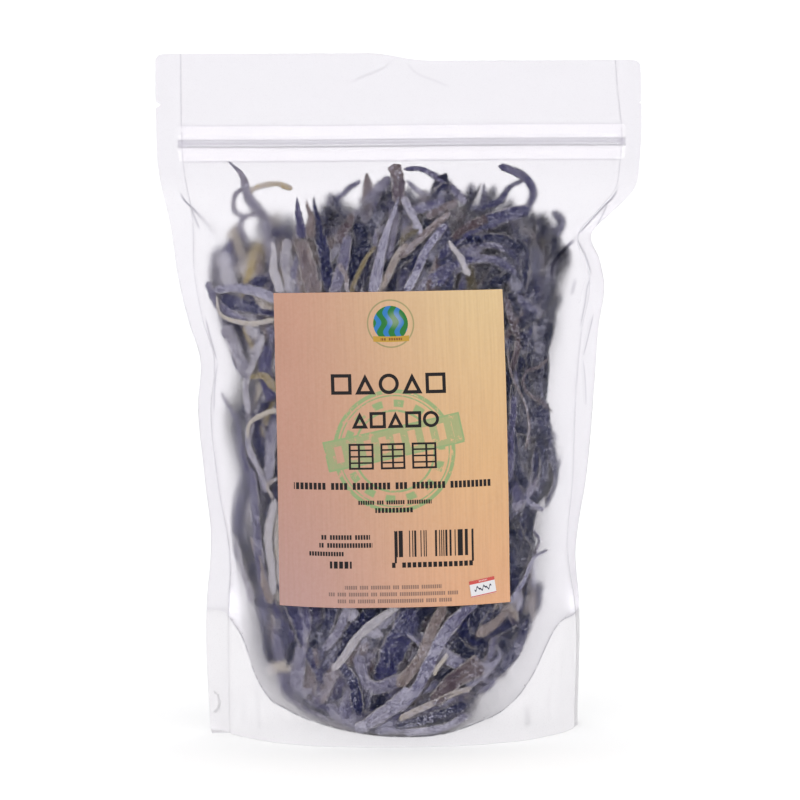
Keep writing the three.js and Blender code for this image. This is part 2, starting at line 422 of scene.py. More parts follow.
def filmMaterial(name, clearness, frosting):
    # rough glass, lined along welds, with lines of painted shade along creases, and a frosting of white
    # specks that is lit from outside, from whichever side it is seen
    film = Shader(name)
    place = film.objectPlace()
    level, seam, weld, crease, creaseShadeAmount = (film.attribute(name) for name in
                                       ("level", "seamOffset", "weldOffset", "creaseOffset", "creaseDark"))
    broken = film.above(film.noise(place, 420, 3, 0.6), 0.42, 0.09)
    below = film.below(seam, 0, 0.3)
    header = film.above(level, filmLook["headerFrom"], 6)
    body = film.mix(below, film.mix(header, filmLook["colour"], filmLook["header"]), filmLook["skirt"])
    seamLine = film.between(seam, -0.25, 0.25, 0.16) * (0.16 + 0.5 * broken) * film.step(weld, 0)
    seamBand = film.between(seam, -1.4, 1.4, 0.9) * 0.05
    weldLine = film.between(weld, -0.2, 0.2, 0.16) * (0.06 + 0.16 * broken)
    # painted shade along each crease
    creaseShadeLine = film.between(crease, -0.7, 0.7, 0.5) * creaseShadeAmount * 1.5
    lines = film.most(seamLine, seamBand, weldLine, creaseShadeLine)
    lined = film.mix(lines, body, filmLook["line"])
    inSeam = film.between(seam, -1.1, 1.1, 0.5)
    speck = film.above(film.noise(place, 1100, 1, 0.4), 0.735, 0.02) * inSeam
    rough = filmLook["roughness"]
    roughness = below * (rough["skirt"] - rough["body"]) + rough["body"]
    film.set(Base_Color=film.mix(speck * 0.8, lined, filmLook["speck"]), Roughness=roughness,
             IOR=filmLook["ior"], Transmission_Weight=1.0, Specular_Tint=(filmLook["glare"],) * 3)

    outside, through = (film.add(kind, {}, {0: frostLook["colour"]})
                        for kind in ("ShaderNodeBsdfDiffuse", "ShaderNodeBsdfTranslucent"))
    fromBehind = film.add("ShaderNodeNewGeometry", output="Backfacing")
    white = film.add("ShaderNodeMixShader", {}, {0: fromBehind, 1: outside, 2: through})
    specks = film.above(film.noise(place, frostLook["grain"], 1, 0.5), frostLook["cover"], 0.05)
    onSkirt = below * (film.below(level, 6, 3) * frostLook["foot"] + frostLook["skirt"])
    fading = film.below(seam, 4, 4) * (1 - below) * frostLook["aboveSeam"]
    frost = (specks * frostLook["body"] + onSkirt + fading) * (1 - lines) * frosting
    glass = Socket(film, film.surface.outputs[0])
    frosted = film.add("ShaderNodeMixShader", {}, {0: frost, 1: glass, 2: white})
    seen = film.most(film.add("ShaderNodeLightPath", output="Is Shadow Ray"), clearness)
    clear = film.add("ShaderNodeBsdfTransparent")
    film.feed(film.output.inputs[0], film.add("ShaderNodeMixShader", {}, {0: seen, 1: frosted, 2: clear}))
    return film.material


def edgeMaterial():
    # the cut edge of the film, which scatters light along its length
    edge = Shader("filmEdge")
    tone = edge.noise(edge.objectPlace(), 60, 2, 0.5)
    edge.set(Base_Color=edge.mix(tone, filmLook["edge"], (0.9, 0.9, 0.92)), Roughness=0.5)
    return edge.material


def panelGrid(side):
    # rows of height by columns across: a side weld, the film from weld to weld, the other side weld; each
    # point is x, y, z and how far inside (below 0) or outside the weld it lies
    height = form["height"]
    t = np.linspace(-1, 1, filmLook["columns"] + 1)
    across = 0.45 * t + 0.55 * np.sin(t * np.pi / 2)
    ends = np.array([0, 0.12, 0.25, 0.4, 0.55, 0.7, 0.85, 1])[::-1]
    plain = np.linspace(3, height - 3, filmLook["rows"])
    atNotch = form["notchHeight"] + np.array([-1.2, -0.6, 0, 0.6, 1.2])
    atTop = height - np.array([2, 1.1, 0.4, 0])
    z = np.sort(np.concatenate([[0, 0.5, 1.2, 2], plain, atTop, atNotch]))[:, None]
    left, right = leftSeal(z), rightSeal(z)
    x = xAt(across, z)
    inWeld = (np.abs(across) - 1) * (right - left) / 2
    body = np.stack(np.broadcast_arrays(x, filmPoint(x, z, side), z, inWeld), axis=-1)
    fins = []
    for end, seal, reach in ((-1, left, leftReach), (1, right, rightReach)):
        width = form["sealWidth"] - cornerCut(z) - notchCut(z)
        stand = np.minimum(reach(z), width)
        back = np.sqrt(np.maximum(0, width ** 2 - stand ** 2)) * (1 - smooth(z, 188, 208))
        share = ends if end < 0 else ends[::-1]
        finX = seal + end * share * stand
        finY = share * back + side * (form["wallGap"] + zipRidge(z) * (1 - 0.9 * smooth(share, 0, 0.2)))
        fins.append(np.stack(np.broadcast_arrays(finX, finY, z, share * width), axis=-1))
    return np.concatenate([fins[0][:, :-1], body, fins[1][:, 1:]], axis=1)


def filmPanel(name, side, materials):
    # the front or back film: the grid with its creases pressed in, given its wall; the materials are those
    # of its outside, its cut edge and its inside
    grid = panelGrid(side)
    rows, columns = grid.shape[:2]
    x, y, z, weldOffset = np.moveaxis(grid, 2, 0)
    slope = seamHeight(x + 0.5) - seamHeight(x - 0.5)
    seam = (z - seamHeight(x)) / np.sqrt(1 + slope ** 2)
    deep, offset, creaseShadeAmount = pressedIn(-side * x, z)
    y = y - side * np.minimum(deep, np.maximum(0, np.abs(y) - 0.1))
    points = np.stack([x, y, z + mouthRise(x, z)], axis=-1).reshape(-1, 3)
    faces = gridFaces(rows, columns)
    if side > 0:
        faces = faces[:, ::-1]
    panel = makePiece(name, points, faces, materials[0])
    for material in materials[1:]:
        panel.data.materials.append(material)
    sharpRim(panel)
    # the creases' darkness goes on as painted shade
    for key, values in (("level", z), ("seamOffset", seam), ("weldOffset", weldOffset),
                        ("creaseOffset", offset), ("creaseDark", creaseShadeAmount)):
        addAttribute(panel, key, values)
    wall = panel.modifiers.new("wall", "SOLIDIFY")
    wall.thickness = filmLook["thickness"] * mm
    wall.offset = -1
    wall.material_offset_rim = 1
    wall.material_offset = 2
    return panel


def gussetFilm(material):
    # the folded base: film between the two curved seams, low in the middle and high at the side welds,
    # sagging between them by one less the fourth power of the way across
    columns, lines = 96, 40
    u = 0.996 * np.sin(np.linspace(-0.5, 0.5, columns) * np.pi)[:, None]
    v = np.linspace(-1, 1, lines)[None, :]
    x = u * form["baseHalfWidth"]
    half = form["wallGap"] + form["baseHalfDepth"] * lens(u) - 0.3
    z = seamHeight(x) - 7.5 * (1 - v ** 4)
    z = np.maximum(z, 0.6) + 0.5 * np.sin(u * 31 + v * 5) * smooth(np.abs(u), 0.4, 0.7) * (1 - v ** 2)
    points = np.stack(np.broadcast_arrays(x, v * half, z), axis=-1)
    base = makePiece("gussetFilm", points.reshape(-1, 3), gridFaces(columns, lines), material)
    for key, value in (("level", 5), ("seamOffset", -20), ("weldOffset", -20), ("creaseOffset", 9),
                       ("creaseDark", 0)):
        addAttribute(base, key, np.full(columns * lines, float(value)))
    wall = base.modifiers.new("wall", "SOLIDIFY")
    wall.thickness = filmLook["thickness"] * mm
    wall.offset = 1
    sharpRim(base)
    return base


frosted = filmMaterial("frostedFilm", 0.0, 1.0)
inside = filmMaterial("filmInside", 0.0, 0.0)
folded = filmMaterial("foldedFilm", filmLook["gussetClearness"], 1.0)
cutEdge = edgeMaterial()
frontFilm = filmPanel("frontFilm", -1, [frosted, cutEdge, inside])
backFilm = filmPanel("backFilm", 1, [frosted, cutEdge, inside])
gusset = gussetFilm(folded)
print("film made")


zipLook = {
    "crush": 2.2,             # how far from a side weld the bead starts to be crushed flat
    "intoWeld": 1.4,          # how far the tape runs into each side weld
    "bead": (0.66, 0.648, 0.684),
    # the colour of the painted shade along the bead's edges
    "beadEdgeShade": (0.4, 0.395, 0.43),
    "tape": (0.99, 0.98, 0.985),
    "tapeEdge": (0.74, 0.73, 0.76),
}


def zipPlastic():
    # bands of tape and bead, with painted shade along the bead's edges, by how far each place is from
    # the bead's middle
    plastic = Shader("zipPlastic")
    level = abs(plastic.attribute("rise"))
    cloud = plastic.noise(plastic.objectPlace(), 90, 3, 0.5)
    tape = plastic.mix(plastic.above(level, 6.45, 0.15), zipLook["tape"], zipLook["tapeEdge"])
    bead = plastic.mix(plastic.below(level, 1.25, 0.1), tape, zipLook["bead"])
    # a thin line of painted shade along each edge of the bead
    lined = plastic.mix(plastic.between(level, 1.15, 1.5, 0.15) * 0.7, bead, zipLook["beadEdgeShade"])
    plastic.set(Base_Color=plastic.mix(cloud * 0.12, lined, (0.4, 0.4, 0.44)), Roughness=0.35)
    return plastic.material


def zipPiece(material):
    # the section of tape and bead carried across the mouth: half its thickness follows the film's ridge
    rise = np.concatenate([[-6.85, -6.7], np.linspace(-6, -2, 5), np.linspace(-1.7, 1.7, 15),
                           np.linspace(2, 6, 5), [6.7, 6.85]])
    height = form["zipHeight"]
    left, right = leftSeal(height) - zipLook["intoWeld"], rightSeal(height) + zipLook["intoWeld"]
    x = np.concatenate([np.linspace(left, left + 6, 10)[:-1], np.linspace(left + 6, right - 6, 60),
                        np.linspace(right - 6, right, 10)[1:]])[:, None]
    fromEnd = np.minimum(x - left, right - x)
    full = smooth(fromEnd, 0.2, zipLook["crush"] + zipLook["intoWeld"])
    flare = 1 + 0.9 * (1 - full) * np.abs(rise)[None] / (1 + rise[None] ** 2)
    ridge = zipRidge(height + rise / flare) - 0.06
    half = 0.1 + (ridge - 0.1) * (0.25 + 0.75 * full)
    half = np.maximum(0.05, half - 0.05 * (np.abs(rise) > 6.8))
    groove = 0.16 * bump(rise, 0, 0.25)[None] * full
    z = height + rise[None] + 0.12 * np.sin(x / 23)
    front = np.stack(np.broadcast_arrays(x, groove - half, z), axis=-1)
    back = np.stack(np.broadcast_arrays(x, half - groove, z), axis=-1)
    ring = np.concatenate([front, back[:, ::-1]], axis=1)
    count, around = ring.shape[:2]
    faces = gridFaces(count, around, ringClosed=True)
    k = np.arange(len(rise) - 1)
    cap = np.stack([k, k + 1, around - 2 - k, around - 1 - k], axis=1)
    faces = np.concatenate([faces, cap[:, ::-1], cap + (count - 1) * around])
    piece = makePiece("zipStrip", ring.reshape(-1, 3), faces, material)
    addAttribute(piece, "rise", np.broadcast_to(np.concatenate([rise, rise[::-1]]), (count, around)))
    return piece


zipStrip = zipPiece(zipPlastic())
print("zip made")


kelpLook = {
    "thickness": 0.5,
    "clearance": 0.3,         # between a strip and the film
    "steps": 22,              # along each strip
    "uneven": [0.14, 0.05, 0.1],     # how far strips stray from their kind, in the same order
    "lighterLeft": 0.27,      # added to how light the strips are at the left of the heap
    "darkerRight": 0.32,      # and taken off at its right
    # kinds of strip: how light, how warm (0 blue, 0.6 brown, 1 olive), how powdery
    "kinds": {
        "navy": (0.15, 0.0, 0.3),
        "slate": (0.54, 0.1, 0.45),
        "powder": (0.68, 0.0, 0.75),
        "brown": (0.51, 0.6, 0.35),
        "tan": (0.8, 0.55, 0.5),
        "olive": (0.5, 1.0, 0.3),
        "pale": (0.92, 0.2, 0.6),
    },
    # how much of the loose heap is of each kind
    "share": {"navy": 0.49, "slate": 0.24, "powder": 0.06, "brown": 0.13,
              "tan": 0.04, "olive": 0.01, "pale": 0.03},
    # loose strips laid by chance: how many, width, length, least and most depth behind the film, twist,
    # which part of the way from the left of the heap (-1) to its right (1) they take up, their heights, and
    # how much darker they are
    "layers": [
        {"name": "underFilm", "count": 210, "width": (3.8, 7.0), "length": (45, 90), "depth": (1.3, 3.4),
         "twist": 0.2, "spread": (-0.97, 0.97), "height": (4, 200), "darker": 0.06},
        {"name": "deeper", "count": 220, "width": (4.0, 7.0), "length": (40, 90), "depth": (3.4, 7.5),
         "twist": 0.7, "spread": (-0.97, 0.97), "height": (4, 200), "darker": 0.1},
        {"name": "farther", "count": 120, "width": (3.0, 7.0), "length": (30, 70), "depth": (7.5, 15.0),
         "twist": 1.3, "spread": (-0.9, 0.9), "height": (4, 200), "darker": 0.1},
        {"name": "rightHand", "count": 70, "width": (3.4, 6.4), "length": (40, 80), "depth": (0.8, 2.8),
         "twist": 0.2, "spread": (0.45, 1.0), "height": (30, 150), "darker": 0.15},
    ],
    # the dark middle, whose darkness is painted shade: how much of the heap's width it takes, its heights,
    # how far behind the film it lies
    "core": {"across": 0.86, "low": 10, "high": 180, "deep": 11},
}
# the heap's outline: its left and right side by height, its top by x
heapLeft = curveThrough([(3, -16), (10, -31), (15, -42), (27, -51), (45, -55), (60, -60), (70, -63),
                         (84, -63), (97, -59), (108, -62), (119, -64), (127, -59), (138, -60),
                         (150, -67), (168, -71), (182, -67), (196, -58), (206, -50)])
heapRight = curveThrough([(3, 12), (8, 20), (15, 22), (21, 27), (27, 37), (39, 43), (52, 46), (70, 49),
                          (84, 50), (94, 57), (106, 57), (118, 52), (140, 53), (152, 58), (165, 60),
                          (185, 60), (196, 56), (206, 50)])
heapTop = curveThrough([(-75, 178), (-60, 184), (-50, 188), (-40, 190), (-20, 196), (-3, 206), (2, 205),
                        (14, 203), (24, 198), (34, 194), (46, 194), (56, 190), (64, 180), (75, 170)])

# Strips that lie against the front film where they are best seen: their kind, width at each end, depth
# behind the film at each end, and the places (x, height) they run through.
laidStrips = [
    ("slate", (0.4, 5), (0.2, 6), [(-64, 214), (-59, 208), (-57, 202), (-50, 191)]),
    ("olive", (1.8, 2.5), (2.2, 0.1), [(-57, 202), (-52, 204), (-46, 205), (-40, 203)]),
    ("slate", (1.5, 2), (3, 5), [(-57, 204), (-62, 200), (-62, 196), (-57, 192)]),
    ("slate", (1.5, 2.8), (3, 3.5), [(-51, 194), (-59, 192), (-60, 189), (-57, 184)]),
    ("navy", (0.4, 4.4), (0.3, 0.8), [(-39, 200), (-38, 194), (-38, 185)]),
    ("brown", (0.4, 4.2), (1.0, 1.4), [(-35, 199), (-34, 193), (-34, 185)]),
    ("navy", (0.4, 4), (1.2, 1.6), [(-32, 200), (-32, 194), (-31, 185)]),
    ("pale", (1.4, 4), (0.5, 0.3), [(-48, 184), (-48, 176), (-46, 165)]),
    ("slate", (4, 4.6), (1.6, 0.8), [(-43, 185), (-43, 176), (-42, 164)]),
    ("brown", (5, 6.6), (0.6, 0.4), [(-38, 184), (-36, 176), (-33, 164)]),
    ("navy", (5, 4.6), (0.9, 0.9), [(-31, 186), (-29, 176), (-27, 164)]),
    ("slate", (4, 4.6), (0.9, 0.4), [(-20, 186), (-23, 176), (-26, 164)]),
    ("olive", (1.2, 2), (0.5, 0.3), [(-10, 182), (-14, 178), (-18, 171), (-20, 164)]),
    ("powder", (0.6, 4.4), (0.3, 0.05), [(-1, 200), (-5, 190), (-9, 177), (-13, 164)]),
    ("tan", (3, 3), (0.7, 0.4), [(1, 183), (-5, 174), (-11, 164)]),
    ("brown", (5, 5), (0.15, 1.6), [(-2, 212), (-1, 205), (0, 197)]),
    ("slate", (1.6, 2.6), (6, 6.5), [(-15, 206), (-19, 203), (-24, 199)]),
    ("slate", (3.4, 6), (3, 5), [(-3, 207), (-9, 202), (-14, 196)]),
    ("brown", (2, 4.6), (1.2, 1.1), [(-18, 194), (-21, 189), (-24, 183)]),
    ("tan", (1.8, 1.5), (0.3, 0.3), [(-24, 176), (-22, 171), (-21, 164)]),
    ("navy", (6, 6.4), (1.6, 1.4), [(-16, 191), (-15, 182), (-18, 165)]),
    ("navy", (6, 5), (2.2, 1.8), [(-8, 195), (-12, 187), (-14, 180)]),
    ("slate", (1.6, 3.4), (3.2, 1.4), [(1, 210), (8, 210), (14, 207), (19, 203), (24, 197)]),
    ("slate", (2, 2), (4, 3), [(2, 206), (9, 201), (16, 202), (19, 204)]),
    ("tan", (3.2, 2.6), (0.2, 0.5), [(-2, 178), (8, 186), (18, 194)]),
    ("olive", (2.4, 2), (0.3, 0.6), [(-2, 182), (2, 186), (6, 188)]),
    ("powder", (3.2, 3.2), (0.1, 0.2), [(0, 165), (7, 178), (16, 190)]),
    ("navy", (4, 5.6), (0.7, 1), [(13, 177), (22, 186), (34, 191), (48, 195)]),
    ("brown", (3, 3.4), (0.3, 0.3), [(18, 184), (25, 189), (32, 192)]),
    ("navy", (3.4, 5), (0.5, 1.6), [(17, 182), (26, 184), (35, 184), (47, 179)]),
    ("slate", (4, 3.2), (0.1, 4), [(37, 211), (42, 209), (47, 206), (50, 201), (48, 196), (43, 192)]),
    ("slate", (2, 3.2), (1, 3), [(47, 206), (41, 203), (37, 198), (31, 196), (25, 195)]),
    ("slate", (3, 4.6), (4.5, 6), [(57, 194), (60, 190), (59, 187), (54, 185)]),
    ("slate", (3.4, 3.4), (0.5, 2), [(12, 167), (18, 174), (27, 177), (35, 176), (42, 170)]),
    ("pale", (1.8, 3), (0.3, 0.8), [(17, 184), (21, 177), (24, 171)]),
    ("slate", (2.2, 3.4), (1.2, 2.4), [(27, 182), (36, 181), (42, 177), (47, 170)]),
    ("navy", (5, 4.6), (1.5, 2.5), [(32, 167), (38, 170), (46, 169)]),
    ("powder", (3, 3), (0.8, 0.7), [(1, 200), (4, 193), (6, 186)]),
    ("navy", (4, 3.6), (1.2, 1.4), [(1, 172), (9, 182), (14, 187)]),
    ("slate", (4.2, 4.4), (1.4, 2), [(1, 194), (9, 196), (17, 198)]),
    ("brown", (3.2, 3), (0.9, 1.8), [(9, 192), (15, 195), (21, 198)]),
    ("slate", (3.6, 4.2), (1.4, 1.2), [(-72, 169), (-70, 163), (-65, 158), (-58, 154)]),
    ("powder", (3, 4.4), (0.5, 0.5), [(-70, 166), (-62, 167), (-52, 165), (-46, 162)]),
    ("tan", (1.4, 2), (0.3, 0.15), [(-69, 164), (-67, 157), (-58, 154), (-46, 156)]),
    ("navy", (5, 6), (1.6, 1.3), [(-67, 163), (-57, 160), (-46, 159)]),
    ("slate", (5.6, 4.4), (1.3, 0.8), [(-66, 153), (-62, 145), (-58, 134)]),
    ("navy", (2.6, 3.6), (2.2, 2.2), [(-65, 148), (-62, 141), (-59, 134)]),
    ("slate", (4.4, 3.2), (1.3, 0.8), [(-52, 150), (-55, 143), (-58, 134), (-58, 121)]),
    ("navy", (6, 5.6), (1.6, 1.6), [(-50, 146), (-52, 138), (-49, 126)]),
    ("olive", (1.6, 4), (0.5, 0.2), [(-57, 134), (-53, 135), (-49, 132), (-45, 129)]),
    ("tan", (1.8, 1.8), (0.4, 0.15), [(-58, 112), (-57, 118), (-53, 121), (-46, 123)]),
    ("navy", (1.2, 4.4), (4, 1.4), [(-67, 128), (-65, 123), (-62, 118), (-60, 108), (-57, 93)]),
    ("slate", (3, 3.2), (1.2, 0.9), [(-57, 119), (-58, 110), (-54, 100), (-52, 92)]),
    ("slate", (5, 5), (1.6, 1.3), [(-48, 119), (-50, 108), (-52, 95)]),
    ("tan", (1.4, 1.5), (0.4, 0.4), [(-48, 98), (-51, 95), (-50, 90)]),
    ("navy", (4.6, 5), (1, 1), [(-57, 101), (-56, 86), (-54, 67), (-51, 51)]),
    ("slate", (4.4, 4.6), (1.3, 1.1), [(-49, 90), (-51, 75), (-49, 54)]),
    ("brown", (3.4, 4), (1, 1), [(-57, 75), (-54, 63), (-50, 51)]),
    ("slate", (3, 4.4), (4, 3.6), [(-63, 75), (-60, 63), (-57, 50)]),
    ("navy", (5, 5), (0.8, 3), [(38, 164), (45, 154), (52, 143)]),
    ("slate", (3.4, 5), (1, 4), [(42, 163), (48, 157), (53, 146)]),
    ("brown", (3.2, 2.6), (0.3, 0.5), [(37, 163), (39, 156), (41, 145), (39, 136)]),
    ("navy", (5.4, 5.4), (1.1, 1.2), [(39, 149), (43, 134), (45, 118)]),
    ("tan", (1, 1.1), (0.8, 0.15), [(54, 140), (49, 137), (44, 136)]),
    ("tan", (1.1, 1.6), (0.15, 1.5), [(44, 136), (43, 132), (46, 127), (50, 124), (55, 120)]),
    ("brown", (3.4, 3.8), (2, 2), [(49, 137), (50, 127), (49, 116), (47, 107)]),
    ("tan", (1, 1.2), (0.2, 0.5), [(37, 145), (39, 134), (43, 125), (45, 116), (44, 107)]),
    ("slate", (1.4, 3), (4, 5), [(55, 113), (56, 111), (53, 108)]),
    ("slate", (2.4, 3.6), (4.5, 4.5), [(59, 102), (55, 95), (52, 88)]),
    ("navy", (5, 5.6), (1, 1.8), [(37, 116), (40, 102), (47, 87)]),
    ("slate", (3.2, 3), (1, 0.8), [(39, 127), (38, 112), (37, 97)]),
    ("powder", (3.2, 1.8), (0.9, 0.9), [(43, 90), (47, 86), (51, 84)]),
    ("navy", (5, 3.6), (0.9, 1.4), [(38, 87), (43, 78), (47, 70)]),
    ("pale", (1.4, 1.4), (1, 0.9), [(47, 77), (49, 72), (47, 67)]),
    ("powder", (3, 1.2), (0.5, 0.4), [(37, 51), (42, 58), (47, 67), (53, 69)]),
    ("navy", (4.8, 4.4), (0.9, 0.9), [(37, 72), (39, 63), (37, 53)]),
    ("pale", (3.3, 3.2), (0.15, 0.2), [(-4, 53), (-18, 42), (-29, 28)]),
    ("navy", (10, 9), (0.7, 0.8), [(1, 51), (-5, 39), (-12, 22)]),
    ("navy", (7, 4.4), (0.9, 1.1), [(-13, 50), (-21, 43), (-26, 31)]),
    ("slate", (4.6, 5.4), (0.8, 0.4), [(-20, 34), (-15, 22), (-3, 25)]),
    ("navy", (3.6, 4.8), (0.5, 0.3), [(-28, 33), (-22, 24), (-19, 12)]),
    ("powder", (4.4, 6.2), (0.3, 0.15), [(-21, 6), (-11, 12), (0, 21)]),
    ("slate", (1.4, 2), (2.5, 1.4), [(-45, 16), (-38, 13), (-30, 9)]),
    ("pale", (6, 5.6), (4.5, 3.6), [(-33, 21), (-27, 16), (-23, 10)]),
    ("brown", (3.4, 4.8), (4, 3.6), [(-52, 26), (-46, 28), (-39, 30)]),
    ("pale", (2, 2.2), (3, 2.6), [(-37, 49), (-37, 40), (-36, 31)]),
    ("navy", (4.4, 5), (2.2, 3), [(-51, 54), (-45, 42), (-41, 33)]),
    ("slate", (4.6, 4.2), (1.8, 2.6), [(-42, 53), (-40, 43), (-38, 28)]),
    ("navy", (5.4, 4.6), (1.1, 2), [(-29, 53), (-31, 42), (-34, 31)]),
    ("slate", (4, 3.6), (1, 1.4), [(-22, 53), (-26, 44), (-32, 35)]),
    ("powder", (5, 4.6), (0.15, 0.1), [(-7, 13), (1, 21), (6, 30), (12, 41), (17, 47), (25, 54)]),
    ("brown", (4.8, 4), (0.5, 0.2), [(-5, 22), (3, 33), (8, 44), (12, 53)]),
    ("brown", (9, 5.4), (0.5, 0.4), [(26, 30), (17, 25), (7, 16)]),
    ("navy", (4.4, 5.6), (0.6, 1), [(15, 39), (20, 34), (26, 30)]),
    ("tan", (1.8, 1.6), (0.2, 0.3), [(13, 34), (10, 30), (8, 26)]),
    ("tan", (2.8, 2.2), (0.3, 0.4), [(-5, 10), (3, 14), (15, 19), (22, 21)]),
    ("navy", (4, 4.2), (0.4, 0.5), [(-6, 7), (8, 11), (20, 15)]),
    ("slate", (3, 3), (0.6, 0.8), [(-3, 5), (12, 7), (21, 11)]),
    ("brown", (3.2, 4), (2, 1), [(40, 53), (32, 45), (23, 40)]),
    ("navy", (5.6, 5), (5, 3), [(47, 52), (42, 45), (32, 35)]),
    ("slate", (5, 4.6), (6, 5), [(50, 57), (47, 48), (42, 39)]),
    ("brown", (2.6, 2.4), (3, 4.5), [(23, 22), (28, 23), (36, 25)]),
    ("navy", (5.6, 5), (1, 1.2), [(21, 53), (18, 43), (28, 36)]),
    ("navy", (5.6, 4.4), (1.3, 1.4), [(-1, 39), (2, 46), (7, 53)]),
]


kelpColours = {           # each kind's ramp from dark to light
    "cold": [(0, (0.003, 0.005, 0.025)), (0.25, (0.011, 0.013, 0.058)),
             (0.5, (0.057, 0.053, 0.122)), (0.75, (0.172, 0.163, 0.216)),
             (1, (0.39, 0.375, 0.39))],
    "brown": [(0, (0.010, 0.006, 0.014)), (0.4, (0.065, 0.043, 0.05)),
              (0.75, (0.22, 0.18, 0.165)), (1, (0.42, 0.38, 0.32))],
    "olive": [(0, (0.025, 0.021, 0.015)), (0.45, (0.11, 0.09, 0.05)),
              (1, (0.38, 0.3, 0.15))],
    "powder": (0.45, 0.443, 0.53),
    # the colour of the painted highlight along the strips' edges
    "rim": (0.47, 0.44, 0.42),
}


def kelpMaterial():
    # three ramps of colour, chosen by how warm a strip is, under a dusting of pale powder, with a painted
    # highlight along the strips' edges
    kelp = Shader("driedKelp")
    place = kelp.objectPlace()
    light, warm, bloom, rim = (kelp.attribute(name) for name in ("light", "warm", "bloom", "rim"))
    strip = kelp.add("ShaderNodeUVMap", {"uv_map": "strip"})
    mottle = kelp.noise(place, 330, 4, 0.65)
    patch = kelp.noise(place, 85, 3, 0.5)
    fine = kelp.noise(place, 1900, 1, 0.5)
    streak = kelp.noise(strip, 1.0, 3, 0.6)
    tone = light + 0.32 * (mottle - 0.5) + 0.6 * (streak - 0.5)
    cold, brown, olive = (kelp.ramp(tone, kelpColours[name]) for name in ("cold", "brown", "olive"))
    own = kelp.mix(kelp.above(warm + 0.3 * (patch - 0.5), 0.8, 0.08), brown, olive)
    base = kelp.mix(kelp.above(warm + 0.9 * (patch - 0.5), 0.32, 0.25), cold, own)
    powder = kelp.above(fine + 0.3 * mottle + 0.36 * bloom + 0.5 * (patch - 0.5), 0.9, 0.04)
    dusted = kelp.mix(powder * 0.7, base, kelpColours["powder"])
    # a pale band along each strip's edges: a painted highlight
    wearAndRimHighlight = kelp.above(rim + 0.5 * (mottle - 0.5), 0.88, 0.06)
    relief = kelp.bumpFrom(mottle + 0.5 * streak + 0.3 * fine, 0.001, 0.8)
    kelp.set(Base_Color=kelp.mix(wearAndRimHighlight * 0.6, dusted, kelpColours["rim"]), Roughness=0.66,
             Specular_IOR_Level=0.05, Normal=relief)
    return kelp.material


def ribbons(name, x, z, sunk, width, roll, curl, looks, side, material):
    # many strips as one mesh: each a thin cupped section carried along a path that keeps its depth behind
    # the film. All but curl and looks are (strip, step).
    count, steps = x.shape
    width = np.maximum(width, 0.3)
    proud = width / 2 * np.abs(np.sin(roll)) + kelpLook["thickness"] / 2 + kelpLook["clearance"]
    room = np.maximum(0.3, np.abs(filmPoint(x, z, side)))
    y = filmPoint(x, z, side) - side * np.minimum(sunk + proud, np.maximum(0.75 * room, room - 45))
    path = np.stack([x, y, z], axis=-1)
    slopeX = (filmPoint(x + 1, z, side) - filmPoint(x - 1, z, side)) / 2
    slopeZ = (filmPoint(x, z + 1, side) - filmPoint(x, z - 1, side)) / 2
    out = np.stack([-slopeX, np.ones_like(x), -slopeZ], axis=-1) * side
    out /= np.linalg.norm(out, axis=2, keepdims=True)
    tangent = np.gradient(path, axis=1)
    tangent /= np.linalg.norm(tangent, axis=2, keepdims=True) + 1e-9
    level = np.cross(tangent, out)
    normal = out * np.cos(roll)[..., None] + level * np.sin(roll)[..., None]
    sideways = np.cross(tangent, normal)
    sideways /= np.linalg.norm(sideways, axis=2, keepdims=True) + 1e-9
    facing = np.cross(sideways, tangent)
    q = np.array([-1, -0.8, 0, 0.8, 1, 0.8, 0, -0.8])
    face = np.array([0.25, 1, 1, 1, -0.25, -1, -1, -1]) * kelpLook["thickness"] / 2
    thin = np.minimum(1, width / 2)[..., None]
    lift = face * thin + curl[:, None, None] * (q ** 2 - 0.5) * width[:, :, None]
    points = (path[:, :, None, :] + (width[:, :, None] / 2 * q)[..., None] * sideways[:, :, None, :]
              + lift[..., None] * facing[:, :, None, :])
    ring = len(q)
    one = gridFaces(steps, ring, ringClosed=True)
    quads = np.array([(1, 2, 6, 7), (2, 3, 5, 6)])
    triangles = np.array([(0, 1, 7), (3, 4, 5)])
    last = (steps - 1) * ring
    quadSet = np.concatenate([one[:, ::-1], quads, quads[:, ::-1] + last])
    triangleSet = np.concatenate([triangles, triangles[:, ::-1] + last])
    shift = np.arange(count)[:, None, None] * steps * ring
    faces = (quadSet[None] + shift).reshape(-1, 4).tolist()
    faces += (triangleSet[None] + shift).reshape(-1, 3).tolist()
    piece = makePiece(name, points.reshape(-1, 3), faces, material)
    shape = (count, steps, ring)
    addAttribute(piece, "rim", np.broadcast_to(np.abs(q), shape))
    for column, key in enumerate(("light", "warm", "bloom")):
        addAttribute(piece, key, np.broadcast_to(looks[:, column][:, None, None], shape))
    along = np.cumsum(np.linalg.norm(np.diff(path, axis=1, prepend=path[:, :1]), axis=2), axis=1)
    order = np.arange(count)[:, None, None] * 7.3
    addPlane(piece, "strip", np.broadcast_to(width[:, :, None] * q * 0.7 + order, shape),
             np.broadcast_to(along[:, :, None] * 0.11 + order, shape))
    return piece


def frayed(width, draw):
    # a strip's width: uneven along its length, with worn or square ends
    count, steps = width.shape
    s = np.linspace(-1, 1, steps)[None, :]
    wave = 0
    for often in (4, 9, 17):
        much = draw.uniform(0.02, 0.09, (count, 1))
        wave = wave + much * np.sin(s * often + draw.uniform(0, 6, (count, 1)))
    square = draw.uniform(6, 40, (count, 1))
    return width * (1 + wave) * np.clip(1.02 - np.abs(s) ** square, 0.15, 1)


